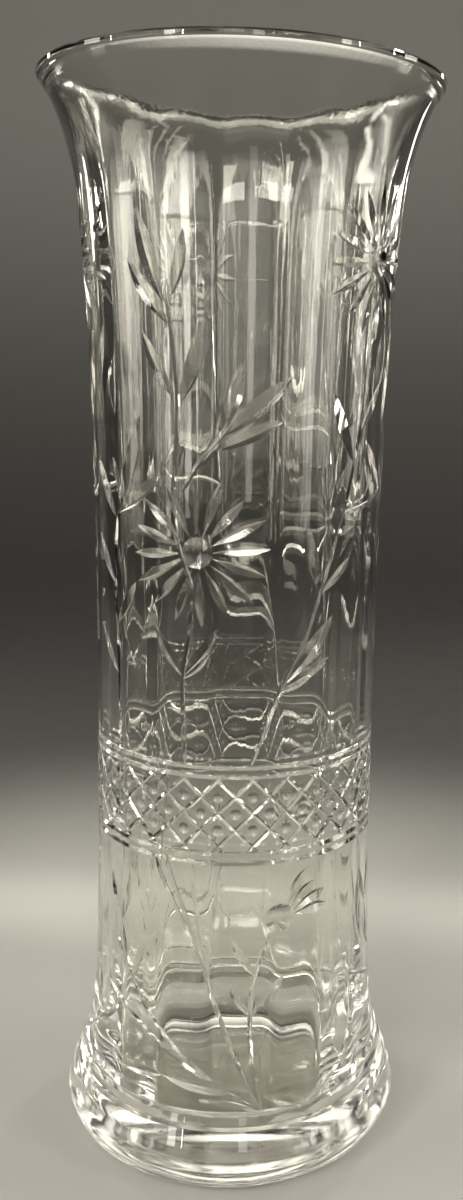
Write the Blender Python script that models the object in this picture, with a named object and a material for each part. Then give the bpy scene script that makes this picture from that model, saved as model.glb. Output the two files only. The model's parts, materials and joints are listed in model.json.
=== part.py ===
"""Cut crystal vase: one piece of blown glass with a flared lip, a panelled inside and a thick spreading foot.

The outside is a turned shape with the mitre-cut rings in its profile. The inside is an optic-moulded
hollow of flat panels that run out into a round mouth. Everything is in metres, with +Z up and the
origin at the centre of the face that the vase stands on.
"""

import math

import bmesh
import bpy
from mathutils import Vector

MM = 0.001

HEIGHT = 305.0 * MM
PANELS = 16
FACETS_PER_PANEL = 3
SEGMENTS = PANELS * FACETS_PER_PANEL
PANEL_TURN = math.radians(18.1)

FOOT_RADIUS = 51.0 * MM
FOOT_WIDEST_AT = 10.5 * MM
STAND_OUTER = 40.5 * MM
STAND_INNER = 33.0 * MM
PUNT_DEPTH = 1.6 * MM
FOOT_ARC_STEPS = 6

# The outside above the foot's widest line: (radius, height) in millimetres.
OUTSIDE = (
    (51.0, 10.5), (50.2, 14.5), (48.6, 18.5), (45.6, 27.0), (43.2, 38.0), (42.0, 52.0), (41.4, 73.0),
    (40.9, 104.0), (40.7, 140.0), (40.9, 177.0), (41.5, 213.0), (42.5, 241.0), (43.8, 262.0),
    (45.3, 277.5), (48.2, 289.8), (51.9, 299.0), (54.9, 303.2),
)
LIP_TOP_RADIUS = 54.0 * MM

# The inside, from the middle of a panel to the axis: (distance, height) in millimetres.
INSIDE = (
    (31.5, 12.0), (34.6, 13.2), (36.2, 16.5), (36.8, 22.0), (36.7, 50.0), (36.3, 104.0), (36.1, 140.0),
    (36.3, 177.0), (36.9, 213.0), (38.0, 241.0), (39.4, 262.0), (41.1, 277.5), (44.4, 289.8),
    (48.6, 299.0), (52.0, 303.6),
)
PANELS_FADE_FROM = 262.0 * MM
PANELS_FADE_TO = 296.0 * MM

ROW_SPACING = 12.0 * MM
GROOVE_WIDTH = 1.7 * MM
GROOVE_DEPTH = 0.65 * MM
BAND_GROOVES = (97.3 * MM, 100.0 * MM, 121.9 * MM, 124.5 * MM)
FOOT_GROOVES = (21.2 * MM, 24.7 * MM)

GLASS_COLOUR = (0.93, 0.95, 0.94, 1.0)
GLASS_IOR = 1.545


def smooth_value(points, height):
    """The radius at a height on the smooth line through the points, a monotone cubic."""
    radii = [point[0] * MM for point in points]
    heights = [point[1] * MM for point in points]
    if height <= heights[0]:
        return radii[0]
    if height >= heights[-1]:
        return radii[-1]
    slopes = [
        (radii[i + 1] - radii[i]) / (heights[i + 1] - heights[i]) for i in range(len(points) - 1)
    ]
    tangents = [slopes[0]]
    for before, after in zip(slopes, slopes[1:]):
        same_way = before * after > 0
        tangents.append(2 * before * after / (before + after) if same_way else 0.0)
    tangents.append(slopes[-1])
    i = max(k for k in range(len(slopes)) if heights[k] <= height)
    span = heights[i + 1] - heights[i]
    t = (height - heights[i]) / span
    return (
        radii[i] * (1 + 2 * t) * (1 - t) ** 2
        + tangents[i] * span * t * (1 - t) ** 2
        + radii[i + 1] * t * t * (3 - 2 * t)
        - tangents[i + 1] * span * t * t * (1 - t)
    )


def outside_profile():
    """The turned outline at +X from the lip down the outer side, then under the foot to the axis."""
    plain = [point[1] * MM for point in OUTSIDE]
    groove_centres = BAND_GROOVES + FOOT_GROOVES
    for lower, upper in zip(plain[:-1], plain[1:]):
        extra = int((upper - lower) / ROW_SPACING)
        plain += [lower + (upper - lower) * (k + 1) / (extra + 1) for k in range(extra)]
    rows = {}
    for height in plain:
        if all(abs(height - centre) > GROOVE_WIDTH for centre in groove_centres):
            rows[height] = smooth_value(OUTSIDE, height)
    for centre in groove_centres:
        for height in (centre - GROOVE_WIDTH / 2, centre + GROOVE_WIDTH / 2):
            rows[height] = smooth_value(OUTSIDE, height)
        rows[centre] = smooth_value(OUTSIDE, centre) - GROOVE_DEPTH
    side = [(rows[height], height) for height in sorted(rows, reverse=True)]
    lip = [(0.0, HEIGHT), (LIP_TOP_RADIUS, HEIGHT)]
    foot = []
    for k in range(1, FOOT_ARC_STEPS + 1):
        turn = math.pi / 2 * k / FOOT_ARC_STEPS
        radius = STAND_OUTER + (FOOT_RADIUS - STAND_OUTER) * math.cos(turn)
        foot.append((radius, FOOT_WIDEST_AT * (1 - math.sin(turn))))
    under = [(STAND_INNER, 0.0), (STAND_INNER - PUNT_DEPTH * 2, PUNT_DEPTH), (0.0, PUNT_DEPTH)]
    return lip + side + foot + under


def linked_object(name, mesh):
    made = bpy.data.objects.new(name, mesh)
    bpy.context.scene.collection.objects.link(made)
    return made


def turned_body(name, profile):
    """The profile turned about Z with a Screw modifier, as one closed solid."""
    mesh = bpy.data.meshes.new(name)
    points = [(radius, 0.0, height) for radius, height in profile]
    mesh.from_pydata(points, [(i, i + 1) for i in range(len(points) - 1)], [])
    body = linked_object(name, mesh)
    screw = body.modifiers.new("turn", "SCREW")
    screw.steps = SEGMENTS
    screw.render_steps = SEGMENTS
    screw.use_merge_vertices = True
    screw.merge_threshold = 0.00005
    return body


def panel_reach(angle, height):
    """Distance from the axis to the inside wall: flat panels that fade to a circle under the lip."""
    flat = smooth_value(INSIDE, height)
    step = math.tau / PANELS
    from_middle = (angle - PANEL_TURN) % step - step / 2
    panelled = flat / math.cos(from_middle)
    t = min(max((height - PANELS_FADE_FROM) / (PANELS_FADE_TO - PANELS_FADE_FROM), 0.0), 1.0)
    fade = t * t * (3 - 2 * t)
    return panelled * (1 - fade) + flat * fade


def ring_at(height, reach):
    """A ring of points at one height, with one of them on each corner between two panels."""
    points = []
    for k in range(SEGMENTS):
        angle = PANEL_TURN + math.tau * k / SEGMENTS
        radius = reach(angle, height)
        points.append(Vector((radius * math.cos(angle), radius * math.sin(angle), height)))
    return points


def hollow_cutter(name):
    """The solid that fills the hollow: its floor is a disc that is extruded ring by ring to the mouth."""
    heights = sorted(point[1] * MM for point in INSIDE)
    heights += [k * ROW_SPACING * 2 for k in range(3, 11)]
    heights = sorted(set(heights))
    heights = [h for i, h in enumerate(heights) if i == 0 or h - heights[i - 1] > 0.9 * MM]
    shape = bmesh.new()
    bmesh.ops.create_circle(shape, segments=SEGMENTS, radius=1.0, cap_ends=True)
    top = shape.faces[:]
    bmesh.ops.reverse_faces(shape, faces=top)
    floor = ring_at(heights[0], panel_reach)
    start = sorted(shape.verts, key=lambda v: math.atan2(v.co.y, v.co.x) % math.tau)
    for vert, place in zip(start, floor):
        vert.co = place
    mouth_reach = smooth_value(INSIDE, heights[-1]) + (HEIGHT - heights[-1]) * 0.4
    levels = [(h, panel_reach) for h in heights[1:]]
    levels.append((HEIGHT + 1.0 * MM, lambda angle, height: mouth_reach + 0.8 * MM))
    for height, reach in levels:
        grown = bmesh.ops.extrude_face_region(shape, geom=top)["geom"]
        bmesh.ops.delete(shape, geom=top, context="FACES_ONLY")
        top = [item for item in grown if isinstance(item, bmesh.types.BMFace)]
        verts = sorted(top[0].verts, key=lambda v: math.atan2(v.co.y, v.co.x) % math.tau)
        ring = sorted(ring_at(height, reach), key=lambda p: math.atan2(p.y, p.x) % math.tau)
        for vert, place in zip(verts, ring):
            vert.co = place
    floor_edge = [v for v in shape.verts if abs(v.co.z - heights[0]) < 1e-6]
    bmesh.ops.contextual_create(shape, geom=floor_edge)
    bmesh.ops.recalc_face_normals(shape, faces=shape.faces)
    mesh = bpy.data.meshes.new(name)
    shape.to_mesh(mesh)
    shape.free()
    cutter = linked_object(name, mesh)
    cutter.hide_render = True
    cutter.display_type = "WIRE"
    return cutter


def crystal():
    """Clear lead crystal, fire-polished, with a trace of green-grey."""
    glass = bpy.data.materials.new("lead_crystal")
    glass.use_nodes = True
    shader = glass.node_tree.nodes["Principled BSDF"]
    shader.inputs["Base Color"].default_value = GLASS_COLOUR
    shader.inputs["Roughness"].default_value = 0.0
    shader.inputs["Metallic"].default_value = 0.0
    shader.inputs["IOR"].default_value = GLASS_IOR
    shader.inputs["Transmission Weight"].default_value = 1.0
    return glass


def build():
    for old in list(bpy.data.objects):
        bpy.data.objects.remove(old, do_unlink=True)
    body = turned_body("vase_body", outside_profile())
    cutter = hollow_cutter("hollow")
    cut = body.modifiers.new("hollow", "BOOLEAN")
    cut.operation = "DIFFERENCE"
    cut.solver = "EXACT"
    cut.object = cutter
    body.data.materials.append(crystal())
    body.data.shade_smooth()


build()
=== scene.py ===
"""Cut crystal vase: a panelled, flared glass body with cut daisies, leaves, rings and a diamond band."""

import json
import math

import bpy
from bpy.props import FloatProperty, FloatVectorProperty, IntProperty, PointerProperty
from mathutils import Matrix, Vector

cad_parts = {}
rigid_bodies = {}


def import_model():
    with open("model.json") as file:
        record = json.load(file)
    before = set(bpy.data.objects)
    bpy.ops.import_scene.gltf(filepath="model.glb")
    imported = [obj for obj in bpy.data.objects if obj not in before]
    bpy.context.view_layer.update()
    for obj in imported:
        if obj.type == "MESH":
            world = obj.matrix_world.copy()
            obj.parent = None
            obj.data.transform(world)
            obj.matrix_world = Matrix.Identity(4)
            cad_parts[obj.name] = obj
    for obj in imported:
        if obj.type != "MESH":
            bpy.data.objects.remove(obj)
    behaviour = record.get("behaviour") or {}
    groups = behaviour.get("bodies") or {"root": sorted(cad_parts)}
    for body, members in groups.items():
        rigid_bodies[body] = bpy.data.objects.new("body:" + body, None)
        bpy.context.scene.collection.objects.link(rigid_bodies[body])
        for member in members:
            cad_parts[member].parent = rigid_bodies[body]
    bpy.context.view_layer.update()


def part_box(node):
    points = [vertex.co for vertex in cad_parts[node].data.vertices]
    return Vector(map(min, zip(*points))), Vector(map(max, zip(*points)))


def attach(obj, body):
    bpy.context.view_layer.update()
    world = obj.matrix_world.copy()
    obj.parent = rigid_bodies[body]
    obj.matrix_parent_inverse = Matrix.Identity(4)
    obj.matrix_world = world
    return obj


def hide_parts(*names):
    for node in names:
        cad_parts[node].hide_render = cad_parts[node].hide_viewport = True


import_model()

bl_info = {
    "name": "Cut Crystal Vase",
    "version": (1, 0, 0),
    "blender": (4, 5, 0),
    "location": "View3D > Sidebar > Crystal Vase",
    "description": "Turns a panelled crystal vase, cuts its pattern and sets up a studio for it",
    "category": "Add Mesh",
}

# ------------------------------------------------------------------ sizes and the drawn outlines

BODY_LOW, BODY_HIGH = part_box("vase_body")
HEIGHT = BODY_HIGH[2] - BODY_LOW[2]
DRAWN_HEIGHT = 305.0
MM = HEIGHT / DRAWN_HEIGHT

# The wheel-cut pattern is set out in degrees round the vase from its front, which faces this way.
FRONT = -86.9

# The outside above the foot's widest line: (radius, height) in millimetres.
OUTSIDE = (
    (51.0, 10.5), (50.2, 14.5), (48.6, 18.5), (45.6, 27.0), (43.2, 38.0), (42.0, 52.0), (41.4, 73.0),
    (40.9, 104.0), (40.7, 140.0), (40.9, 177.0), (41.5, 213.0), (42.5, 241.0), (43.8, 262.0),
    (45.3, 277.5), (48.2, 289.8), (51.9, 299.0), (54.9, 303.2),
)
# The inside, from the middle of a panel to the axis: (distance, height) in millimetres.
INSIDE = (
    (33.4, 12.0), (35.3, 12.9), (36.4, 15.4), (36.8, 20.0), (36.7, 50.0), (36.3, 104.0), (36.1, 140.0),
    (36.3, 177.0), (36.9, 213.0), (38.0, 241.0), (39.4, 262.0), (41.1, 277.5), (44.4, 289.8),
    (48.6, 299.0), (51.8, 303.3),
)
LIP = ((54.9, 304.2), (54.3, 304.85), (53.4, 305.0), (52.6, 304.75), (52.0, 304.1))
FOOT_RADIUS, FOOT_WIDEST_AT = 51.0, 10.5
STAND_OUTER = 40.5
FOOT_ARC_STEPS = 14
# The recess under the foot, from the middle out to the stand ring: (radius, height) in millimetres.
PUNT_DEPTH = 1.6
UNDERSIDE = ((0.0, PUNT_DEPTH), (29.0, PUNT_DEPTH), (31.5, 0.56), (33.0, 0.0))
RINGS = (21.2, 24.7, 97.3, 100.0, 121.9, 124.5)
# No plain row of faces comes nearer than this to a ring's edge, and rows are further apart on the inside.
RING_MARGIN = 0.4
INNER_ROWS_WIDER = 1.6
PANELS_FADE_FROM, PANELS_FADE_TO = 262.0, 296.0
# Points nearer than WELD become one, places nearer than SAME_PLACE count as one, and a point further than
# CUT_FROM from the uncut wall belongs to a cut. Within WALL_END of its ends a wall keeps its corners, and
# the inside is looked for from FLOOR_MARGIN under its floor. All are in millimetres.
WELD, SAME_PLACE, CUT_FROM = 0.004, 0.02, 0.12
WALL_END, FLOOR_MARGIN = 0.05, 0.5
# Faces that meet at a sharper angle than this, in degrees, keep the edge between them.
SMOOTH_ANGLE = 24

# The vase's finishes, in the order of its material slots.
OUTER_WALL, INNER_WALL, BRIGHT_CUT, SATIN_CUT, GROUND_FOOT = range(5)


def shares(hex_colour):
    """The three shares of an sRGB colour written as hex."""
    return tuple(int(hex_colour[i:i + 2], 16) / 255 for i in (1, 3, 5))


class VaseSizes(bpy.types.PropertyGroup):
    panels: IntProperty(
        name="Panels", description="Panels moulded round the inside", default=16, min=3)
    points_per_panel: IntProperty(
        name="Points per Panel", description="Mesh points across each panel", default=14, min=3)
    panel_turn: FloatProperty(
        name="Panel Turn", description="Turn of the first ridge from the front",
        default=math.radians(-7.5), subtype="ANGLE")
    ridge_blend: FloatProperty(
        name="Ridge Blend", description="How sharp the ridge between two panels stays", default=75.0)
    panel_crown: FloatProperty(
        name="Panel Crown", description="1 is a flat panel, more swells inwards across it", default=1.5)
    row_spacing: FloatProperty(
        name="Row Spacing", description="Height between rows of faces", default=3.0 * MM, unit="LENGTH")
    ring_width: FloatProperty(
        name="Ring Width", description="Width of each cut ring", default=1.5 * MM, unit="LENGTH")
    ring_depth: FloatProperty(
        name="Ring Depth", description="Depth of each cut ring", default=0.6 * MM, unit="LENGTH")
    diamonds: IntProperty(
        name="Diamonds", description="Diamonds round the band", default=27, min=3)


class CutSizes(bpy.types.PropertyGroup):
    groove_width: FloatProperty(
        name="Groove Width", description="Width of the band's mitre cuts", default=1.3 * MM, unit="LENGTH")
    groove_depth: FloatProperty(
        name="Groove Depth", description="Depth of the band's mitre cuts", default=0.5 * MM, unit="LENGTH")
    dimple_radius: FloatProperty(
        name="Dimple Radius", description="Radius of the round cut in each diamond", default=1.6 * MM,
        unit="LENGTH")
    dimple_depth: FloatProperty(
        name="Dimple Depth", description="Depth of the round cut in each diamond", default=0.32 * MM,
        unit="LENGTH")
    petal_width: FloatProperty(
        name="Petal Width", description="Width of a daisy petal", default=2.7 * MM, unit="LENGTH")
    petal_depth: FloatProperty(
        name="Petal Depth", description="Depth of a daisy petal", default=0.75 * MM, unit="LENGTH")
    stem_width: FloatProperty(
        name="Stem Width", description="Width of a stem cut", default=1.35 * MM, unit="LENGTH")
    stem_depth: FloatProperty(
        name="Stem Depth", description="Depth of a stem cut", default=0.5 * MM, unit="LENGTH")
    heart_radius: FloatProperty(
        name="Heart Radius", description="Radius of the round cut in a daisy", default=4.1 * MM,
        unit="LENGTH")
    heart_depth: FloatProperty(
        name="Heart Depth", description="Depth of the round cut in a daisy", default=1.1 * MM,
        unit="LENGTH")


class CrystalLooks(bpy.types.PropertyGroup):
    index: FloatProperty(
        name="Index of Refraction", description="Lead crystal bends light by this much", default=1.545)
    crystal: FloatVectorProperty(
        name="Crystal", description="Clear crystal, sRGB", subtype="COLOR_GAMMA",
        default=shares("#FBFBF7"), min=0, max=1)
    # The floor and backdrop colours make the board's painted pool of light: pale round the vase and painted
    # darker further out, as painted shade.
    floor: FloatVectorProperty(
        name="Floor", description="Pale middle of the studio floor, sRGB", subtype="COLOR_GAMMA",
        default=shares("#A3A39F"), min=0, max=1)
    backdrop: FloatVectorProperty(
        name="Backdrop", description="Dark foot of the backdrop, sRGB", subtype="COLOR_GAMMA",
        default=shares("#454544"), min=0, max=1)
    # The wall colour is painted light: the backdrop is painted paler higher up.
    wall: FloatVectorProperty(
        name="Wall", description="Upper part of the backdrop, sRGB", subtype="COLOR_GAMMA",
        default=shares("#8A8A85"), min=0, max=1)
    light: FloatVectorProperty(
        name="Light", description="Warm light of the studio, sRGB", subtype="COLOR_GAMMA",
        default=shares("#FFF9ED"), min=0, max=1)


def sizes():
    return bpy.context.scene.vase_sizes


def cuts():
    return bpy.context.scene.vase_cuts


def looks():
    return bpy.context.scene.vase_looks


def smooth_value(points, height):
    """The radius in mm at a height in mm on the smooth line through the points, a monotone cubic."""
    if height <= points[0][1]:
        return points[0][0]
    if height >= points[-1][1]:
        return points[-1][0]
    slopes = [(b[0] - a[0]) / (b[1] - a[1]) for a, b in zip(points, points[1:])]
    tangents = [slopes[0]]
    for before, after in zip(slopes, slopes[1:]):
        same_way = before * after > 0
        tangents.append(2 * before * after / (before + after) if same_way else 0.0)
    tangents.append(slopes[-1])
    i = max(k for k in range(len(slopes)) if points[k][1] <= height)
    (low, start), (high, end) = points[i], points[i + 1]
    span = end - start
    t = (height - start) / span
    return (
        low * (1 + 2 * t) * (1 - t) ** 2 + tangents[i] * span * t * (1 - t) ** 2
        + high * t * t * (3 - 2 * t) - tangents[i + 1] * span * t * t * (1 - t)
    )


def outside_radius(height):
    """Radius of the uncut outside, in mm at a height in mm, down to the stand ring."""
    if height >= FOOT_WIDEST_AT:
        return smooth_value(OUTSIDE, height)
    drop = 1 - max(height, 0.0) / FOOT_WIDEST_AT
    return STAND_OUTER + (FOOT_RADIUS - STAND_OUTER) * math.sqrt(max(1 - drop * drop, 0.0))


def inside_radius(angle, height):
    """Distance in mm from the axis to the inside wall: melted-over panels that fade out under the lip."""
    flat = smooth_value(INSIDE, height)
    step = math.tau / sizes().panels
    ridge = math.radians(FRONT) + sizes().panel_turn
    from_middle = (angle - ridge) % step - step / 2
    sharp = sizes().ridge_blend
    near = math.cos(from_middle)
    beside = math.cos(step - abs(from_middle))
    blended = near + math.log1p(math.exp((beside - near) * sharp)) / sharp
    panelled = flat / blended ** sizes().panel_crown
    t = min(max((height - PANELS_FADE_FROM) / (PANELS_FADE_TO - PANELS_FADE_FROM), 0.0), 1.0)
    fade = t * t * (3 - 2 * t)
    return panelled * (1 - fade) + flat * fade


# ------------------------------------------------------------------ modelling helpers


def deselect_all():
    if bpy.context.mode != "OBJECT":
        bpy.ops.object.mode_set(mode="OBJECT")
    bpy.ops.object.select_all(action="DESELECT")


def pick(piece):
    deselect_all()
    piece.select_set(True)
    bpy.context.view_layer.objects.active = piece


def draw_outline(name, points):
    """A plane merged to one point and extruded along the outline, which lies in the XZ plane (mm)."""
    deselect_all()
    x, z = points[0]
    bpy.ops.mesh.primitive_plane_add(size=MM, location=(0, 0, 0))
    outline = bpy.context.object
    outline.name = name
    bpy.ops.object.mode_set(mode="EDIT")
    bpy.ops.mesh.select_all(action="SELECT")
    bpy.ops.mesh.merge(type="CENTER")
    bpy.ops.transform.translate(value=(x * MM, 0, z * MM))
    for (x0, z0), (x1, z1) in zip(points, points[1:]):
        step = ((x1 - x0) * MM, 0, (z1 - z0) * MM)
        bpy.ops.mesh.extrude_region_move(TRANSFORM_OT_translate={"value": step})
    return outline


def turn_outline(steps):
    """Spins the outline being edited once round the axis and closes the seam and poles."""
    bpy.ops.mesh.select_all(action="SELECT")
    bpy.ops.mesh.spin(steps=steps, angle=math.tau, center=(0, 0, 0), axis=(0, 0, 1))
    bpy.ops.mesh.select_all(action="SELECT")
    bpy.ops.mesh.remove_doubles(threshold=WELD * MM)
    bpy.ops.mesh.normals_make_consistent(inside=False)
    bpy.ops.object.mode_set(mode="OBJECT")


def rows_between(points, spacing):
    """The outline's own heights with evenly spaced rows between them, from low to high."""
    heights = []
    for low, high in zip(points, points[1:]):
        count = max(1, math.ceil((high - low) / spacing))
        heights += [low + (high - low) * k / count for k in range(count)]
    return heights + [points[-1]]


def body_outline():
    """The whole outline of the glass: under the foot, up the outside, round the lip and down the inside."""
    half = sizes().ring_width / MM / 2
    depth = sizes().ring_depth / MM
    spacing = sizes().row_spacing / MM
    outline = list(UNDERSIDE)
    for k in range(FOOT_ARC_STEPS):
        turn = math.pi / 2 * k / FOOT_ARC_STEPS
        radius = STAND_OUTER + (FOOT_RADIUS - STAND_OUTER) * math.sin(turn)
        outline.append((radius, FOOT_WIDEST_AT * (1 - math.cos(turn))))
    plain = rows_between([point[1] for point in OUTSIDE], spacing)
    clear = half + RING_MARGIN
    rows = [(h, outside_radius(h)) for h in plain if all(abs(h - ring) > clear for ring in RINGS)]
    for ring in RINGS:
        rows += [(h, outside_radius(h)) for h in (ring - half, ring + half)]
        rows.append((ring, outside_radius(ring) - depth))
    outline += [(radius, height) for height, radius in sorted(rows)]
    outline += list(LIP)
    inner = rows_between([point[1] for point in INSIDE], spacing * INNER_ROWS_WIDER)
    outline += [(smooth_value(INSIDE, h), h) for h in reversed(inner)]
    outline.append((0.0, INSIDE[0][1]))
    return outline


def surface_angle(point):
    return math.atan2(point.y, point.x)


def press_panels(body):
    """Moves the inside wall's points out to the panels."""
    low = (INSIDE[0][1] - SAME_PLACE) * MM
    high = (INSIDE[-1][1] + SAME_PLACE) * MM
    for vert in body.data.vertices:
        height = vert.co.z
        if not low < height < high:
            continue
        radius = math.hypot(vert.co.x, vert.co.y)
        flat = smooth_value(INSIDE, height / MM) * MM
        if abs(radius - flat) < SAME_PLACE * MM:
            reach = inside_radius(surface_angle(vert.co), height / MM) * MM
            vert.co.x *= reach / radius
            vert.co.y *= reach / radius


def sort_walls(body):
    """Gives each face of the blank its finish: outside, inside, a cut ring or the ground underside."""
    half = sizes().ring_width / 2
    for face in body.data.polygons:
        centre = face.center
        radius = math.hypot(centre.x, centre.y)
        height = centre.z
        middle = (outside_radius(height / MM) + smooth_value(INSIDE, height / MM)) / 2 * MM
        above_floor = height > (INSIDE[0][1] - FLOOR_MARGIN) * MM
        if above_floor and radius < middle:
            face.material_index = INNER_WALL
        elif any(abs(height - ring * MM) < half for ring in RINGS):
            face.material_index = BRIGHT_CUT
        elif height < (PUNT_DEPTH + SAME_PLACE) * MM and radius < STAND_OUTER * MM:
            face.material_index = GROUND_FOOT
        else:
            face.material_index = OUTER_WALL


# ------------------------------------------------------------------ the cutter's wheels

# The steps each wheel's edge is drawn in, the share it runs on past its cut's ends, and its lean.
STEM_STEPS, STEM_OVERRUN = 26, 0.02
LEAF_STEPS, LEAF_OVERRUN, LEAF_LEAN = 14, 0.03, 0.35
PETAL_STEPS, PETAL_OVERRUN, PETAL_LEAN = 12, 0.03, 0.2
# The share of a stem over which its groove runs out, how far past the middle a petal is deepest, and how
# fast a petal wheel lifts clear of the glass beyond its ends.
STEM_RUN_OUT = 0.1
PETAL_SKEW, PETAL_LIFT = 1.3, 3.5


def mitre_tool(name, stations, depth_at, rise=0.45, lean=0.0):
    """A V-edged cutting tool one unit long: its edge sinks by depth_at(s), its back stands above the glass.

    The section is a triangle, extruded station by station and scaled from its back, as a mitre wheel's
    edge is. X is the length, Y the width (1 is half the cut's width) and Z the height. A lean moves the
    edge to one side, which makes one flank of the cut wide and the other narrow.
    """
    deselect_all()
    bpy.ops.mesh.primitive_circle_add(vertices=3, radius=1.0, fill_type="NGON", location=(0, 0, 0))
    tool = bpy.context.object
    tool.name = name
    first = stations[0]
    size = depth_at(first) + rise
    corners = ((first, lean * size, rise - size), (first, size, rise), (first, -size, rise))
    for vert, corner in zip(tool.data.vertices, corners):
        vert.co = corner
    bpy.ops.object.mode_set(mode="EDIT")
    bpy.ops.mesh.select_all(action="SELECT")
    for before, after in zip(stations, stations[1:]):
        bpy.ops.mesh.extrude_region_move(TRANSFORM_OT_translate={"value": (after - before, 0, 0)})
        grown = depth_at(after) + rise
        k = grown / size
        bpy.ops.transform.resize(value=(1, k, k), center_override=(after, 0, rise))
        size = grown
    bpy.ops.mesh.select_all(action="SELECT")
    bpy.ops.transform.translate(value=(0, -lean * rise, 0))
    bpy.ops.mesh.normals_make_consistent(inside=False)
    bpy.ops.object.mode_set(mode="OBJECT")
    return tool


def dimple_tool(name, rings=5, sides=28, rise=0.5):
    """A round-edged wheel's dimple: a bowl of radius one and depth one, with a straight back."""
    outline = [(0.0, -1.0)]
    for k in range(1, rings + 1):
        across = k / rings
        outline.append((across, -1.0 + across ** 2))
    outline += [(1.0 + rise / 2, rise), (0.0, rise)]
    tool = draw_outline(name, [(x / MM, z / MM) for x, z in outline])
    turn_outline(sides)
    return tool


def leaf_depth(s):
    return 4 * s * (1 - s)


def petal_depth(s):
    """A slim petal, deepest a little past the middle and pointed at both ends."""
    within = min(max(s, 0.0), 1.0)
    return math.sin(math.pi * within ** PETAL_SKEW) - PETAL_LIFT * abs(s - within)


def stem_depth(s):
    """A level groove that runs out at each end."""
    end = min(s, 1 - s)
    return 1.0 if end >= STEM_RUN_OUT else 1 - (1 - end / STEM_RUN_OUT) ** 2


def even_stations(steps, overrun):
    return [-overrun + (1 + 2 * overrun) * k / steps for k in range(steps + 1)]


def point_on_path(path, s):
    """Place and direction at a share s of a path through (degrees, mm) points, as a Catmull-Rom line."""
    spans = len(path) - 1
    at = min(max(s, 0.0), 1.0) * spans
    i = min(int(at), spans - 1)
    t = at - i
    a, b = Vector(path[i]), Vector(path[i + 1])
    before = Vector(path[i - 1]) if i > 0 else 2 * a - b
    after = Vector(path[i + 2]) if i + 2 <= spans else 2 * b - a
    here = 0.5 * (
        2 * a + (b - before) * t + (2 * before - 5 * a + 4 * b - after) * t * t
        + (3 * a - before - 3 * b + after) * t ** 3
    )
    along = 0.5 * (
        (b - before) + 2 * (2 * before - 5 * a + 4 * b - after) * t
        + 3 * (3 * a - before - 3 * b + after) * t * t
    )
    if s < 0 or s > 1:
        here = here + along * spans * (s - min(max(s, 0.0), 1.0))
    return here, along


def on_glass(degrees, height, lift):
    """A point on the outside wall, lifted off it by so many mm."""
    angle = math.radians(FRONT + degrees)
    radius = outside_radius(height) + lift
    return Vector((radius * math.cos(angle), radius * math.sin(angle), height)) * MM


def copy_tool(tool, finish, bench):
    """A copy on the bench with its own mesh, which leaves the given finish where it cuts."""
    made = tool.copy()
    made.data = tool.data.copy()
    bench.objects.link(made)
    for face in made.data.polygons:
        face.material_index = finish
    return made


def lay_tool(tool, path, width, depth, finish, bench):
    """Lays a copy of the tool along a path in (degrees, mm) on the glass, its width and depth in metres."""
    made = copy_tool(tool, finish, bench)
    half, deep = width / MM / 2, depth / MM
    for vert in made.data.vertices:
        s, across, up = vert.co
        here, along = point_on_path(path, s)
        mm_per_degree = math.radians(outside_radius(here.y))
        run = Vector((along.x * mm_per_degree, along.y)).normalized()
        side = across * half
        degrees = here.x - run.y * side / mm_per_degree
        vert.co = on_glass(degrees, here.y + run.x * side, up * deep)


def press_dimple(tool, degrees, height, radius, depth, finish, bench):
    """Sets a copy of the dimple tool square to the glass: place in degrees and mm, sizes in metres."""
    made = copy_tool(tool, finish, bench)
    mm_per_degree = math.radians(outside_radius(height))
    for vert in made.data.vertices:
        x, y, up = vert.co
        vert.co = on_glass(
            degrees + x * radius / MM / mm_per_degree, height + y * radius / MM, up * depth / MM)


def clear_tools(tools):
    for tool in tools:
        mesh = tool.data
        bpy.data.objects.remove(tool)
        bpy.data.meshes.remove(mesh)


def cut_away(body, bench):
    """Takes every tool on the bench out of the glass, then clears the bench away."""
    pick(body)
    cut = body.modifiers.new("Cuts", "BOOLEAN")
    cut.operation = "DIFFERENCE"
    cut.solver = "MANIFOLD"
    cut.operand_type = "COLLECTION"
    cut.collection = bench
    cut.material_mode = "INDEX"
    before = len(body.data.polygons)
    bpy.ops.object.modifier_apply(modifier=cut.name)
    if len(body.data.polygons) <= before:
        raise RuntimeError("The cuts took nothing out of the glass")
    clear_tools(list(bench.objects))
    bpy.data.collections.remove(bench)


def new_bench():
    bench = bpy.data.collections.new("cutting bench")
    bpy.context.scene.collection.children.link(bench)
    return bench


# ------------------------------------------------------------------ the pattern, in degrees and mm

# The band's lowest, middle and highest height, the turn of a diamond's middle and half a diamond's height.
BAND_LOW, BAND_MIDDLE, BAND_HIGH = 99.8, 111.4, 122.1
DIAMOND_TURN, DIAMOND_HALF_HEIGHT = 7.0, 4.8

# Five sprays stand evenly round the wall: two tall ones and three whose daisy is higher.
FIRST_SPRAY, SPRAY_TURN = -15.0, 72.0
TALL_AT = [FIRST_SPRAY + SPRAY_TURN * number for number in (0, 2)]
HIGH_AT = [FIRST_SPRAY + SPRAY_TURN * number for number in (1, 3, 4)]
# Three low sprays stand evenly round the foot.
LOW_AT = [120.0 * number for number in range(3)]

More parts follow.
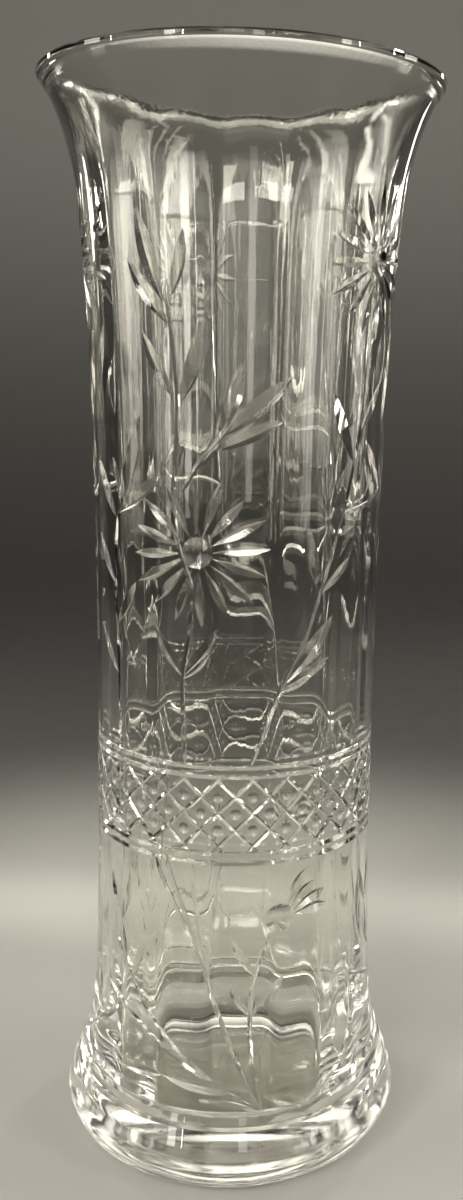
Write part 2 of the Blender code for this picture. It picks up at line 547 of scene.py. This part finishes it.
# A tall spray, about its own front: each stem a list of points, each leaf from its foot to its tip.
TALL_STEMS = (
    ((-4.2, 124.0), (-4.9, 136.0), (-5.2, 148.3), (-2.6, 160.0), (-1.0, 172.0)),
    ((-9.5, 195.6), (-8.2, 203.3), (-6.9, 221.0), (-9.3, 240.6), (-11.7, 249.0)),
    ((-5.6, 197.8), (1.2, 205.7), (6.6, 210.1), (12.0, 215.0)),
    ((-1.0, 172.0), (-7.0, 184.0), (-9.5, 197.0)),
)
TALL_LEAVES = (
    ((-11.6, 244.5), (-21.7, 268.7)), ((-9.3, 245.5), (-3.8, 262.5)), ((-9.9, 239.5), (-26.2, 255.4)),
    ((-8.4, 221.5), (-20.9, 238.0)), ((-6.4, 219.5), (3.1, 241.2)), ((6.4, 211.0), (16.8, 230.3)),
    ((8.6, 212.0), (33.7, 227.4)), ((5.2, 208.4), (30.9, 216.4)), ((-5.2, 148.3), (5.2, 155.8)),
    ((-5.2, 149.0), (8.2, 162.3)), ((-5.2, 149.0), (-17.1, 162.1)),
)
TALL_DAISY = (0.2, 182.2)

# A low-stemmed spray whose daisy stands high on the wall.
HIGH_STEMS = (
    ((-51.4, 124.0), (-46.0, 135.0), (-40.3, 145.1), (-31.0, 158.0), (-24.0, 172.0), (-14.0, 192.0)),
    ((-14.0, 192.0), (-7.0, 212.0), (-2.5, 232.0), (-1.3, 246.0)),
    ((-40.3, 145.1), (-33.0, 146.5), (-27.0, 149.5)),
    ((36.0, 124.0), (35.0, 150.0), (33.5, 172.0), (35.5, 191.0)),
    ((-14.0, 192.0), (2.0, 194.0), (14.9, 197.9)),
)
HIGH_LEAVES = (
    ((-38.8, 146.3), (-18.5, 153.2)), ((-38.8, 147.0), (-17.6, 164.8)), ((-24.2, 171.0), (-31.0, 190.0)),
    ((-24.0, 171.0), (-9.0, 180.0)), ((-9.5, 205.0), (-22.0, 224.0)), ((-6.6, 213.0), (7.0, 226.0)),
    ((14.0, 197.0), (-2.1, 211.0)), ((35.5, 190.0), (49.3, 217.0)), ((35.5, 190.5), (58.6, 201.8)),
    ((35.0, 189.0), (21.0, 205.0)), ((33.5, 171.0), (20.5, 184.0)), ((34.2, 160.0), (46.0, 173.0)),
    ((35.0, 146.0), (22.0, 158.0)), ((12.7, 215.0), (19.8, 241.3)), ((12.7, 215.0), (12.7, 231.0)),
)
HIGH_DAISY = (-1.1, 257.0)

# A spray under the band: long stems fan up and left from its foot and a half daisy looks out to the right.
LOW_STEMS = (
    ((10.8, 24.9), (3.2, 36.6), (-7.3, 57.2), (-12.5, 69.6), (-26.9, 89.0), (-31.9, 97.0)),
    ((-10.2, 66.0), (-15.5, 76.0), (-24.0, 91.0), (-26.9, 97.0)),
    ((-9.4, 63.0), (-12.6, 75.0), (-15.0, 87.0), (-16.1, 97.0)),
    ((-9.2, 64.0), (-8.6, 76.0), (-6.4, 88.0), (-4.5, 97.0)),
    ((10.8, 24.9), (7.4, 38.0), (6.8, 52.0), (8.3, 64.0), (14.0, 76.0)),
    ((10.8, 24.9), (-6.0, 32.4), (-19.7, 38.2), (-43.3, 48.0), (-62.1, 54.0)),
    ((10.8, 24.9), (-10.0, 34.8), (-30.0, 47.0), (-44.0, 60.0), (-50.0, 74.0)),
    ((10.8, 24.9), (0.0, 27.6), (-12.0, 28.2)),
    ((24.1, 24.9), (34.0, 27.5), (46.0, 33.0), (54.0, 41.0)),
)
LOW_LEAVES = (
    ((6.8, 52.0), (-1.6, 62.5)), ((6.8, 52.0), (20.4, 64.0)), ((8.2, 30.5), (-26.0, 33.0)),
    ((-26.0, 33.0), (-44.5, 31.5)), ((11.1, 29.2), (24.1, 25.0)), ((-44.0, 58.0), (-53.0, 70.0)),
    ((-44.0, 58.0), (-37.0, 71.0)), ((-50.0, 74.0), (-58.0, 87.0)), ((-50.0, 74.0), (-45.0, 88.0)),
    ((54.0, 41.0), (64.0, 52.0)), ((54.0, 41.0), (52.0, 55.0)), ((8.3, 64.0), (-0.5, 75.0)),
)
LOW_DAISY = (18.1, 80.6)
LOW_PETALS = (5, 22, 40, 59)

# A leaf's width as a share of its length, its widest and narrowest in millimetres, its depth as a share of
# its width, and how far it bows, sideways as a share of its length and upwards as a share of that.
LEAF_SHARE, LEAF_WIDEST, LEAF_NARROWEST, LEAF_DEPTH_SHARE = 0.19, 4.6, 2.6, 0.21
LEAF_BOW, LEAF_BOW_RISE = 0.05, 0.3
# A daisy's petals, the turn of its first one and their length from the middle of its heart. Petals start
# just inside the heart's edge, and their lengths differ a little from one to the next.
DAISY_PETALS, DAISY_TURN, DAISY_REACH = 16, 4, 19.3
HALF_DAISY_REACH, HALF_DAISY_FULLER = 15.0, 1.35
PETAL_ROOT = 0.92
PETAL_UNEVEN, PETAL_UNEVEN_STEP = 0.8, 2.3


def flat_length(start, end):
    mm_per_degree = math.radians(outside_radius((start[1] + end[1]) / 2))
    return math.hypot((end[0] - start[0]) * mm_per_degree, end[1] - start[1])


def turned(points, turn):
    return [(degrees + turn, height) for degrees, height in points]


class Wheels:
    """The cutter's wheels: for stems, for leaves that lean left or right, for petals and for round cuts."""

    def __init__(self):
        self.stem = mitre_tool("stem wheel", even_stations(STEM_STEPS, STEM_OVERRUN), stem_depth)
        leaf_stations = even_stations(LEAF_STEPS, LEAF_OVERRUN)
        self.leaf = [
            mitre_tool("leaf wheel", leaf_stations, leaf_depth, lean=lean)
            for lean in (-LEAF_LEAN, LEAF_LEAN)
        ]
        petal_stations = even_stations(PETAL_STEPS, PETAL_OVERRUN)
        self.petal = mitre_tool("petal wheel", petal_stations, petal_depth, lean=PETAL_LEAN)
        self.round = dimple_tool("round wheel")

    def put_away(self):
        clear_tools([self.stem, *self.leaf, self.petal, self.round])


def cut_stem(wheels, path, bench):
    lay_tool(wheels.stem, path, cuts().stem_width, cuts().stem_depth, BRIGHT_CUT, bench)


def cut_leaf(wheels, foot, tip, bench):
    """A leaf bows a little to the side it leans to, and is as wide as its length allows."""
    length = flat_length(foot, tip)
    width = min(max(length * LEAF_SHARE, LEAF_NARROWEST), LEAF_WIDEST)
    side = 1 if tip[0] > foot[0] else -1
    bow = LEAF_BOW * length
    middle = ((foot[0] + tip[0]) / 2 + side * bow, (foot[1] + tip[1]) / 2 + bow * LEAF_BOW_RISE)
    tool = wheels.leaf[0 if side > 0 else 1]
    depth = width * LEAF_DEPTH_SHARE
    lay_tool(tool, (foot, middle, tip), width * MM, depth * MM, SATIN_CUT, bench)


def cut_daisy(wheels, centre, turns, longest, bench, fuller=1.0):
    """A round heart with a petal at each of the given turns, in degrees from the right, anticlockwise."""
    width = cuts().petal_width * fuller
    mm_per_degree = math.radians(outside_radius(centre[1]))
    heart = cuts().heart_radius / MM
    for number, turn in enumerate(turns):
        reach = longest + PETAL_UNEVEN * math.sin(PETAL_UNEVEN_STEP * number)
        across, up = math.cos(math.radians(turn)), math.sin(math.radians(turn))
        ends = []
        for out in (heart * PETAL_ROOT, reach):
            ends.append((centre[0] + out * across / mm_per_degree, centre[1] + out * up))
        lay_tool(wheels.petal, ends, width, cuts().petal_depth, SATIN_CUT, bench)
    press_dimple(wheels.round, *centre, cuts().heart_radius, cuts().heart_depth, SATIN_CUT, bench)


def cut_spray(wheels, turn, stems, leaves, bench):
    for stem in stems:
        cut_stem(wheels, turned(stem, turn), bench)
    for foot, tip in leaves:
        cut_leaf(wheels, *turned((foot, tip), turn), bench)


# ------------------------------------------------------------------ materials

# The flaring tool's ripples: their spacing and height in millimetres and how strongly they show.
RIPPLE_SPACING, RIPPLE_HEIGHT, RIPPLE_STRENGTH = 1.1, 0.03, 0.5
# The marks of the mould: their height in millimetres and how many times longer than wide they are.
MARK_HEIGHT, MARK_STRETCH = 0.05, 22
# The wheel's unevenness: patches this many millimetres across, rougher or smoother by this share.
PATCH_SIZE, PATCH_SHARE = 4.0, 0.3
# Nearly all of a noise's values lie between these.
NOISE_LOW, NOISE_HIGH = 0.3, 0.7


def linear(colour):
    """The linear value of an sRGB colour, given as hex or as its three shares."""
    if isinstance(colour, str):
        colour = shares(colour)
    return [c / 12.92 if c <= 0.04045 else ((c + 0.055) / 1.055) ** 2.4 for c in colour]


def add_node(material, kind, settings=(), links=()):
    """Adds a node; settings are attribute or socket values and links join its sockets to others'."""
    tree = material.node_tree
    node = tree.nodes.new(kind)
    for name, value in dict(settings).items():
        if hasattr(node, name):
            setattr(node, name, value)
        else:
            node.inputs[name].default_value = value
    for name, socket in dict(links).items():
        tree.links.new(socket, node.inputs[name])
    return node


def new_material(name):
    material = bpy.data.materials.new(name)
    material.use_nodes = True
    material.node_tree.nodes.clear()
    return material


def flare_ripples(material, place, below):
    """Fine ripples from the flaring tool, only on the flare, which break up what it mirrors."""
    grain = add_node(
        material, "ShaderNodeTexNoise",
        {"Scale": 1 / (RIPPLE_SPACING * MM), "Detail": 3.0, "Roughness": 0.6},
        {"Vector": place.outputs["Object"]})
    parts = add_node(material, "ShaderNodeSeparateXYZ", {}, {"Vector": place.outputs["Object"]})
    flare = add_node(
        material, "ShaderNodeMapRange",
        {"From Min": PANELS_FADE_FROM * MM, "From Max": PANELS_FADE_TO * MM, "To Max": RIPPLE_STRENGTH},
        {"Value": parts.outputs["Z"]})
    return add_node(
        material, "ShaderNodeBump", {"Distance": RIPPLE_HEIGHT * MM},
        {
            "Strength": flare.outputs["Result"], "Height": grain.outputs["Fac"],
            "Normal": below.outputs["Normal"],
        })


def crystal(name, roughness, mark_strength, mark_width, rippled=False):
    """Clear lead crystal: bright, heavy reflections from its high index, with faint marks from its making.

    The marks are a noise drawn out along the vase's height, mark_width millimetres across.
    """
    material = new_material(name)
    place = add_node(material, "ShaderNodeTexCoord")
    across = 1 / (mark_width * MM)
    stretch = add_node(
        material, "ShaderNodeMapping", {"Scale": (across, across, across / MARK_STRETCH)},
        {"Vector": place.outputs["Object"]})
    marks = add_node(
        material, "ShaderNodeTexNoise", {"Scale": 1.0, "Detail": 2.0, "Roughness": 0.5},
        {"Vector": stretch.outputs["Vector"]})
    bump = add_node(
        material, "ShaderNodeBump", {"Strength": mark_strength, "Distance": MARK_HEIGHT * MM},
        {"Height": marks.outputs["Fac"]})
    if rippled:
        bump = flare_ripples(material, place, bump)
    shader = add_node(
        material, "ShaderNodeBsdfPrincipled",
        {
            "Base Color": (*linear(looks().crystal), 1.0),
            "Roughness": roughness,
            "IOR": looks().index,
            "Transmission Weight": 1.0,
        },
        {"Normal": bump.outputs["Normal"]})
    add_node(material, "ShaderNodeOutputMaterial", {}, {"Surface": shader.outputs["BSDF"]})
    return material


def scattering(name, roughness, tint):
    """Ground crystal: its fine grinding scatters the light a little, unevenly from patch to patch."""
    material = new_material(name)
    place = add_node(material, "ShaderNodeTexCoord")
    patches = add_node(
        material, "ShaderNodeTexNoise",
        {"Scale": 1 / (PATCH_SIZE * MM), "Detail": 2.0, "Roughness": 0.5},
        {"Vector": place.outputs["Object"]})
    uneven = add_node(
        material, "ShaderNodeMapRange",
        {
            "From Min": NOISE_LOW, "From Max": NOISE_HIGH,
            "To Min": roughness * (1 - PATCH_SHARE), "To Max": roughness * (1 + PATCH_SHARE),
        },
        {"Value": patches.outputs["Fac"]})
    shader = add_node(
        material, "ShaderNodeBsdfPrincipled",
        {"Base Color": (*linear(tint), 1.0), "IOR": looks().index, "Transmission Weight": 1.0},
        {"Roughness": uneven.outputs["Result"]})
    add_node(material, "ShaderNodeOutputMaterial", {}, {"Surface": shader.outputs["BSDF"]})
    return material


def outside_crystal():
    """Fire-polished lead crystal: mirror smooth, with faint upright drags that waver its highlights."""
    return crystal("polished lead crystal", roughness=0.0, mark_strength=0.20, mark_width=2.2)


def inside_crystal():
    """Mould-blown lead crystal: smooth, with stronger drags and the flaring tool's fine ripples."""
    return crystal(
        "mould-blown lead crystal", roughness=0.0, mark_strength=0.35, mark_width=1.5, rippled=True)


def bright_cut():
    """A wheel cut dipped in acid: nearly clear, so that rings, stems and the band flash light and dark."""
    return crystal("acid-polished wheel cut", roughness=0.08, mark_strength=0.05, mark_width=1.0)


def satin_cut():
    """A wheel cut left half polished: it blurs what it bends, so each flank reads as one grey or cream."""
    return scattering("half-polished wheel cut", roughness=0.15, tint="#F6F3EA")


def ground_foot():
    """The underside, ground flat and smoothed: it passes the floor's light up into the foot, a bit warm."""
    return scattering("ground underside", roughness=0.06, tint="#F8F4E8")


# ------------------------------------------------------------------ the vase


def wall_normal(co, inner):
    """The smooth wall's outward normal at a point on it."""
    angle, height = surface_angle(co), co.z / MM
    step = 0.02
    reach = inside_radius if inner else (lambda a, h: outside_radius(h))
    turn = math.radians(0.05)
    radius = reach(angle, height)
    rise = (reach(angle, height + step) - reach(angle, height - step)) / (2 * step)
    round_about = (reach(angle + turn, height) - reach(angle - turn, height)) / (2 * turn)
    out = Vector((math.cos(angle), math.sin(angle), 0))
    along = Vector((-math.sin(angle), math.cos(angle), 0))
    normal = (out * radius - along * round_about - Vector((0, 0, rise * radius))).normalized()
    return -normal if inner else normal


def smooth_walls(body):
    """Gives the walls the smooth normals of their outlines, so they bend light evenly between the cuts."""
    mesh = body.data
    pick(body)
    bpy.ops.object.shade_smooth_by_angle(angle=math.radians(SMOOTH_ANGLE))
    faces_of = {}
    for face in mesh.polygons:
        for key in face.edge_keys:
            faces_of.setdefault(key, []).append(face)
    for edge in mesh.edges:
        sides = faces_of.get(edge.key, [])
        if len({face.material_index for face in sides}) > 1:
            edge.use_edge_sharp = True
    mesh.update()
    normals = [loop.vector.copy() for loop in mesh.corner_normals]
    known = {}
    top, bottom = OUTSIDE[-1][1] - SAME_PLACE, WALL_END
    for face in mesh.polygons:
        inner = face.material_index == INNER_WALL
        if not inner and face.material_index != OUTER_WALL:
            continue
        for corner in face.loop_indices:
            index = mesh.loops[corner].vertex_index
            co = mesh.vertices[index].co
            height = co.z / MM
            if not inner and not bottom < height < top:
                continue
            if inner and not INSIDE[1][1] < height < INSIDE[-1][1] - WALL_END:
                continue
            radius = math.hypot(co.x, co.y) / MM
            wanted = inside_radius(surface_angle(co), height) if inner else outside_radius(height)
            if abs(radius - wanted) > CUT_FROM:
                continue
            if (index, inner) not in known:
                known[index, inner] = wall_normal(co, inner)
            normals[corner] = known[index, inner]
    mesh.normals_split_custom_set(normals)


class CRYSTAL_OT_vase(bpy.types.Operator):
    """Turns the panelled blank with its rings, cuts the diamond band and the flowers, and polishes it"""

    bl_idname = "crystal.vase"
    bl_label = "Crystal Vase"

    def execute(self, context):
        body = self.blank()
        bench = new_bench()
        wheels = Wheels()
        self.band(wheels, bench)
        self.flowers(wheels, bench)
        wheels.put_away()
        cut_away(body, bench)
        smooth_walls(body)
        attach(body, "root")
        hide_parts("vase_body")
        return {"FINISHED"}

    def blank(self):
        body = draw_outline("crystal_vase", body_outline())
        turn = math.radians(FRONT) + sizes().panel_turn
        bpy.ops.mesh.select_all(action="SELECT")
        bpy.ops.transform.rotate(value=-turn, orient_axis="Z", center_override=(0, 0, 0))
        turn_outline(sizes().panels * sizes().points_per_panel)
        press_panels(body)
        for finish in (outside_crystal, inside_crystal, bright_cut, satin_cut, ground_foot):
            body.data.materials.append(finish())
        sort_walls(body)
        return body

    def band(self, wheels, bench):
        step = 360 / sizes().diamonds
        lean = step / 2 / DIAMOND_HALF_HEIGHT
        for number in range(sizes().diamonds):
            middle = DIAMOND_TURN + step * number
            for way in (-1, 1):
                path = [
                    (middle + way * lean * (height - BAND_MIDDLE), height)
                    for height in (BAND_LOW, BAND_MIDDLE, BAND_HIGH)
                ]
                lay_tool(wheels.stem, path, cuts().groove_width, cuts().groove_depth, BRIGHT_CUT, bench)
            for row in (-1, 0, 1):
                degrees = middle + (step / 2 if row == 0 else 0)
                height = BAND_MIDDLE + row * DIAMOND_HALF_HEIGHT
                press_dimple(
                    wheels.round, degrees, height, cuts().dimple_radius, cuts().dimple_depth,
                    BRIGHT_CUT, bench)

    def flowers(self, wheels, bench):
        all_round = [360 / DAISY_PETALS * k + DAISY_TURN for k in range(DAISY_PETALS)]
        for turn in TALL_AT:
            cut_spray(wheels, turn, TALL_STEMS, TALL_LEAVES, bench)
            cut_daisy(wheels, (TALL_DAISY[0] + turn, TALL_DAISY[1]), all_round, DAISY_REACH, bench)
        for turn in HIGH_AT:
            cut_spray(wheels, turn, HIGH_STEMS, HIGH_LEAVES, bench)
            cut_daisy(wheels, (HIGH_DAISY[0] + turn, HIGH_DAISY[1]), all_round, DAISY_REACH, bench)
        for turn in LOW_AT:
            cut_spray(wheels, turn, LOW_STEMS, LOW_LEAVES, bench)
            centre = (LOW_DAISY[0] + turn, LOW_DAISY[1])
            cut_daisy(wheels, centre, LOW_PETALS, HALF_DAISY_REACH, bench, HALF_DAISY_FULLER)


# ------------------------------------------------------------------ the studio

# The studio board, in metres: a level floor that curves up into a wall all round.
FLOOR_RADIUS, SWEEP_RADIUS, WALL_HEIGHT = 0.95, 0.85, 2.2
SWEEP_STEPS, FLOOR_SEGMENTS = 24, 96
FLOOR_GAP, FLOOR_WELD = 0.0002, 0.0001
# A painted pool of light: the board is pale inside one radius and painted darker beyond another, as painted
# shade, and painted light makes it grow paler again between two heights.
PAINTED_POOL_RADIUS, PAINTED_SHADE_RADIUS = 0.13, 0.40
WALL_PAINTED_SHADE_TO, WALL_PAINTED_LIGHT_FROM = -0.1, 0.7
BOARD_SMOOTHEST, BOARD_ROUGHEST, MOTTLE_PER_METRE = 0.52, 0.66, 60.0
# The board's painted glow: it gives off light in its own colour, though it is no lamp.
FLOOR_PAINTED_GLOW = 0.05
# The dim room round the board.
ROOM = "#272728"
# The softboxes round the vase: name, bearing from the front in degrees, height of the foot, distance,
# width, height and brightness. The narrow ones stand near the bearings that the panels mirror, and draw
# upright columns of light with bright edges. The broad ones lift the whole wall, and the small high windows
# and sills light the flare.
SOFTBOXES = (
    ("front", 7.5, 0.02, 0.95, 0.09, 0.95, 0.6),
    ("front left", -37.5, 0.02, 0.80, 0.08, 0.95, 1.6),
    ("front left edge", -30.5, 0.02, 0.62, 0.008, 0.95, 6.0),
    ("front right", 54.0, 0.02, 0.72, 0.07, 0.95, 1.6),
    ("front right edge", 61.0, 0.02, 0.55, 0.007, 0.95, 6.0),
    ("left", -84.0, 0.02, 0.66, 0.13, 0.95, 1.1),
    ("left edge", -70.0, 0.02, 0.50, 0.008, 0.95, 8.0),
    ("right", 99.0, 0.02, 0.66, 0.13, 0.95, 1.1),
    ("right edge", 84.0, 0.02, 0.50, 0.008, 0.95, 8.0),
    ("back left", -127.5, 0.25, 0.95, 0.06, 0.80, 3.5),
    ("back right", 142.5, 0.25, 0.95, 0.06, 0.80, 3.5),
    ("broad left", -55.0, 0.02, 1.15, 0.90, 0.95, 0.24),
    ("broad right", 62.0, 0.02, 1.15, 0.90, 0.95, 0.24),
    ("broad front", 3.0, 0.02, 1.15, 0.70, 0.95, 0.16),
    ("window", -20.0, 0.80, 0.95, 0.24, 0.24, 1.3),
    ("left window", -42.0, 0.80, 0.95, 0.20, 0.24, 1.3),
    ("right window", 4.0, 0.80, 0.95, 0.20, 0.24, 1.3),
    ("middle sill", 7.5, 0.57, 0.95, 0.34, 0.014, 5.0),
    ("left sill", -37.5, 0.57, 0.95, 0.34, 0.014, 5.0),
    ("right sill", 52.5, 0.57, 0.95, 0.30, 0.014, 4.0),
)
# A softbox aims at this height, and one whose foot is above HIGH_SOFTBOX aims at the lip. Their grids keep
# the light within a spread in degrees, which makes the columns fade downwards.
AIM, HIGH_SOFTBOX = 0.23, 0.5
SOFTBOX_SPREAD, HIGH_SPREAD = 68.0, 36.0
# The lights hung above the vase: name, place, target, width, length, brightness and spread.
OVERHEAD = ("overhead", (-0.06, -0.2, 1.5), (0, 0, 0.1), 0.6, 0.6, 0.3, 120)
FLOOR_STRIP = ("floor strip", (0.0, 0.135, 0.72), (0, 0.135, 0), 1.5, 0.03, 0.7, 7)
BACKDROP_WASH = ("backdrop wash", (0.0, 0.9, 1.35), (0, 1.8, 0.5), 1.6, 0.2, 5.0, 150)
# The fills behind the vase, at their bearings: distance and height, then target, width, length, brightness
# and spread of each.
BACK_FILLS = (("back fill", 177.0), ("back fill left", -133.0), ("back fill right", 127.0))
BACK_FILL_DISTANCE, BACK_FILL_HEIGHT = 1.1, 0.78
BACK_FILL = ((0, 0, 0.03), 1.1, 0.6, 0.055, 34)
# The camera: its place in vase heights, its tilts in degrees, its lens, film and sideways shift.
CAMERA_PLACE = (0.06075, -1.11427, 0.75718)
CAMERA_PITCH, CAMERA_ROLL = 11.395, 1.294
CAMERA_LENS, CAMERA_FILM, CAMERA_SHIFT, CAMERA_NEAR = 35.33, 36.0, -0.0571, 0.01
BOUNCES, GLOSSY_BOUNCES = 24, 12


def board_with_painted_light():
    """Studio board with painted light: a painted pool of light round the middle, fading to painted shade of
    dark grey towards the wall.

    It is matt, with a slight mottle, and has a painted glow: it gives off a little light in its own painted
    colour, though no lamp lies under it.
    """
    material = new_material("studio board with painted light")
    place = add_node(material, "ShaderNodeTexCoord")
    distance = add_node(
        material, "ShaderNodeVectorMath", {"operation": "LENGTH"}, {"Vector": place.outputs["Object"]})
    # Painted pool of light: the board is pale near the middle and fades to painted shade further out.
    fade = add_node(
        material, "ShaderNodeMapRange",
        {"interpolation_type": "SMOOTHERSTEP", "From Min": PAINTED_POOL_RADIUS, "From Max": PAINTED_SHADE_RADIUS},
        {"Value": distance.outputs["Value"]})
    # Painted light on the backdrop: the wall is painted paler higher up, from its dark foot.
    parts = add_node(material, "ShaderNodeSeparateXYZ", {}, {"Vector": place.outputs["Object"]})
    rise = add_node(
        material, "ShaderNodeMapRange",
        {"interpolation_type": "SMOOTHSTEP", "From Min": WALL_PAINTED_SHADE_TO, "From Max": WALL_PAINTED_LIGHT_FROM},
        {"Value": parts.outputs["Z"]})
    wall = add_node(
        material, "ShaderNodeMix", {"data_type": "RGBA"}, {"Factor": rise.outputs["Result"]})
    wall.inputs["A"].default_value = (*linear(looks().backdrop), 1.0)
    wall.inputs["B"].default_value = (*linear(looks().wall), 1.0)
    colour = add_node(
        material, "ShaderNodeMix", {"data_type": "RGBA"},
        {"Factor": fade.outputs["Result"], "B": wall.outputs["Result"]})
    colour.inputs["A"].default_value = (*linear(looks().floor), 1.0)
    mottle = add_node(
        material, "ShaderNodeTexNoise", {"Scale": MOTTLE_PER_METRE, "Detail": 4.0},
        {"Vector": place.outputs["Object"]})
    matt = add_node(
        material, "ShaderNodeMapRange", {"To Min": BOARD_SMOOTHEST, "To Max": BOARD_ROUGHEST},
        {"Value": mottle.outputs["Fac"]})
    # Painted glow: the board gives off light in its own painted colour.
    shader = add_node(
        material, "ShaderNodeBsdfPrincipled", {"Emission Strength": FLOOR_PAINTED_GLOW},
        {
            "Base Color": colour.outputs["Result"],
            "Emission Color": colour.outputs["Result"],
            "Roughness": matt.outputs["Result"],
        })
    add_node(material, "ShaderNodeOutputMaterial", {}, {"Surface": shader.outputs["BSDF"]})
    return material


def standing_at(bearing, distance, height):
    """A place round the vase, at a bearing in degrees from its front."""
    turn = math.radians(FRONT + bearing)
    return (distance * math.cos(turn), distance * math.sin(turn), height)


class CRYSTAL_OT_studio(bpy.types.Operator):
    """Lays the floor and backdrop with their painted pool of light, hangs the lights and sets up the camera
    """

    bl_idname = "crystal.studio"
    bl_label = "Studio"

    def execute(self, context):
        self.floor()
        for softbox in SOFTBOXES:
            self.softbox(*softbox)
        self.hung_lights()
        self.world()
        self.camera()
        return {"FINISHED"}

    def floor(self):
        """One round sweep of board: a level floor that curves up into a wall all round."""
        edge = FLOOR_RADIUS
        sweep = [(0.0, -FLOOR_GAP), (edge, -FLOOR_GAP)]
        for k in range(1, SWEEP_STEPS + 1):
            turn = math.pi / 2 * k / SWEEP_STEPS
            sweep.append((edge + SWEEP_RADIUS * math.sin(turn), SWEEP_RADIUS * (1 - math.cos(turn))))
        sweep.append((edge + SWEEP_RADIUS, WALL_HEIGHT))
        floor = draw_outline("studio_floor", [(x / MM, z / MM) for x, z in sweep])
        bpy.ops.mesh.select_all(action="SELECT")
        bpy.ops.mesh.spin(steps=FLOOR_SEGMENTS, angle=math.tau, center=(0, 0, 0), axis=(0, 0, 1))
        bpy.ops.mesh.select_all(action="SELECT")
        bpy.ops.mesh.remove_doubles(threshold=FLOOR_WELD)
        bpy.ops.mesh.normals_make_consistent(inside=True)
        bpy.ops.object.mode_set(mode="OBJECT")
        bpy.ops.object.shade_smooth()
        floor.data.materials.append(board_with_painted_light())

    def softbox(self, name, bearing, foot, distance, width, height, brightness):
        place = standing_at(bearing, distance, foot + height / 2)
        aim, spread = (HEIGHT, HIGH_SPREAD) if foot > HIGH_SOFTBOX else (AIM, SOFTBOX_SPREAD)
        self.area_light(name, place, (0, 0, aim), width, height, brightness, spread)

    def area_light(self, name, place, target, width, height, brightness, spread):
        """A light panel whose grid keeps its light within the spread, in degrees.

        The brightness is that of its face, so a larger panel of the same brightness gives more light.
        """
        deselect_all()
        bpy.ops.object.light_add(type="AREA", location=place)
        light = bpy.context.object
        light.name = name
        light.data.shape = "RECTANGLE"
        light.data.size = width
        light.data.size_y = height
        light.data.energy = brightness * width * height * math.pi
        light.data.color = linear(looks().light)
        light.data.spread = math.radians(spread)
        light.rotation_euler = (Vector(target) - Vector(place)).to_track_quat("-Z", "Y").to_euler()
        light.visible_camera = False

    def hung_lights(self):
        """A soft light overhead, fills behind for the foot, a strip on the floor and a wash on the wall."""
        self.area_light(*OVERHEAD)
        for name, bearing in BACK_FILLS:
            place = standing_at(bearing, BACK_FILL_DISTANCE, BACK_FILL_HEIGHT)
            self.area_light(name, place, *BACK_FILL)
        self.area_light(*FLOOR_STRIP)
        self.area_light(*BACKDROP_WASH)

    def world(self):
        world = bpy.data.worlds.new("studio")
        world.use_nodes = True
        world.node_tree.nodes["Background"].inputs["Color"].default_value = (*linear(ROOM), 1.0)
        bpy.context.scene.world = world

    def camera(self):
        place = Vector(CAMERA_PLACE) * HEIGHT
        pitch, roll = math.radians(CAMERA_PITCH), math.radians(CAMERA_ROLL)
        right = Vector((1, 0, 0))
        down = Vector((0, -math.sin(pitch), -math.cos(pitch)))
        ahead = Vector((0, math.cos(pitch), -math.sin(pitch)))
        side = right * math.cos(roll) - down * math.sin(roll)
        up = -(right * math.sin(roll) + down * math.cos(roll))
        deselect_all()
        bpy.ops.object.camera_add(location=place)
        camera = bpy.context.object
        turned_to_vase = Matrix((side, up, -ahead)).transposed().to_4x4()
        camera.matrix_world = Matrix.Translation(place) @ turned_to_vase
        camera.data.sensor_width = CAMERA_FILM
        camera.data.lens = CAMERA_LENS
        camera.data.shift_x = CAMERA_SHIFT
        camera.data.clip_start = CAMERA_NEAR
        camera.data.dof.use_dof = False
        scene = bpy.context.scene
        scene.camera = camera
        scene.view_settings.view_transform = "Standard"
        scene.cycles.max_bounces = BOUNCES
        scene.cycles.transmission_bounces = BOUNCES
        scene.cycles.glossy_bounces = GLOSSY_BOUNCES


class CRYSTAL_PT_vase(bpy.types.Panel):
    """The vase's sizes, cuts and looks, and the steps that make it"""

    bl_label = "Cut Crystal Vase"
    bl_idname = "CRYSTAL_PT_vase"
    bl_space_type = "VIEW_3D"
    bl_region_type = "UI"
    bl_category = "Crystal Vase"

    def draw(self, context):
        layout = self.layout
        for group in (sizes(), cuts(), looks()):
            for name in group.bl_rna.properties.keys():
                if name not in ("rna_type", "name"):
                    layout.prop(group, name)
        for operator in OPERATORS:
            layout.operator(operator.bl_idname)


OPERATORS = (CRYSTAL_OT_vase, CRYSTAL_OT_studio)
CLASSES = (VaseSizes, CutSizes, CrystalLooks, *OPERATORS, CRYSTAL_PT_vase)


def register():
    for made in CLASSES:
        bpy.utils.register_class(made)
    bpy.types.Scene.vase_sizes = PointerProperty(type=VaseSizes)
    bpy.types.Scene.vase_cuts = PointerProperty(type=CutSizes)
    bpy.types.Scene.vase_looks = PointerProperty(type=CrystalLooks)


def unregister():
    del bpy.types.Scene.vase_looks
    del bpy.types.Scene.vase_cuts
    del bpy.types.Scene.vase_sizes
    for made in reversed(CLASSES):
        bpy.utils.unregister_class(made)


def main():
    register()
    bpy.ops.crystal.vase()
    bpy.ops.crystal.studio()


if __name__ == "__main__":
    main()
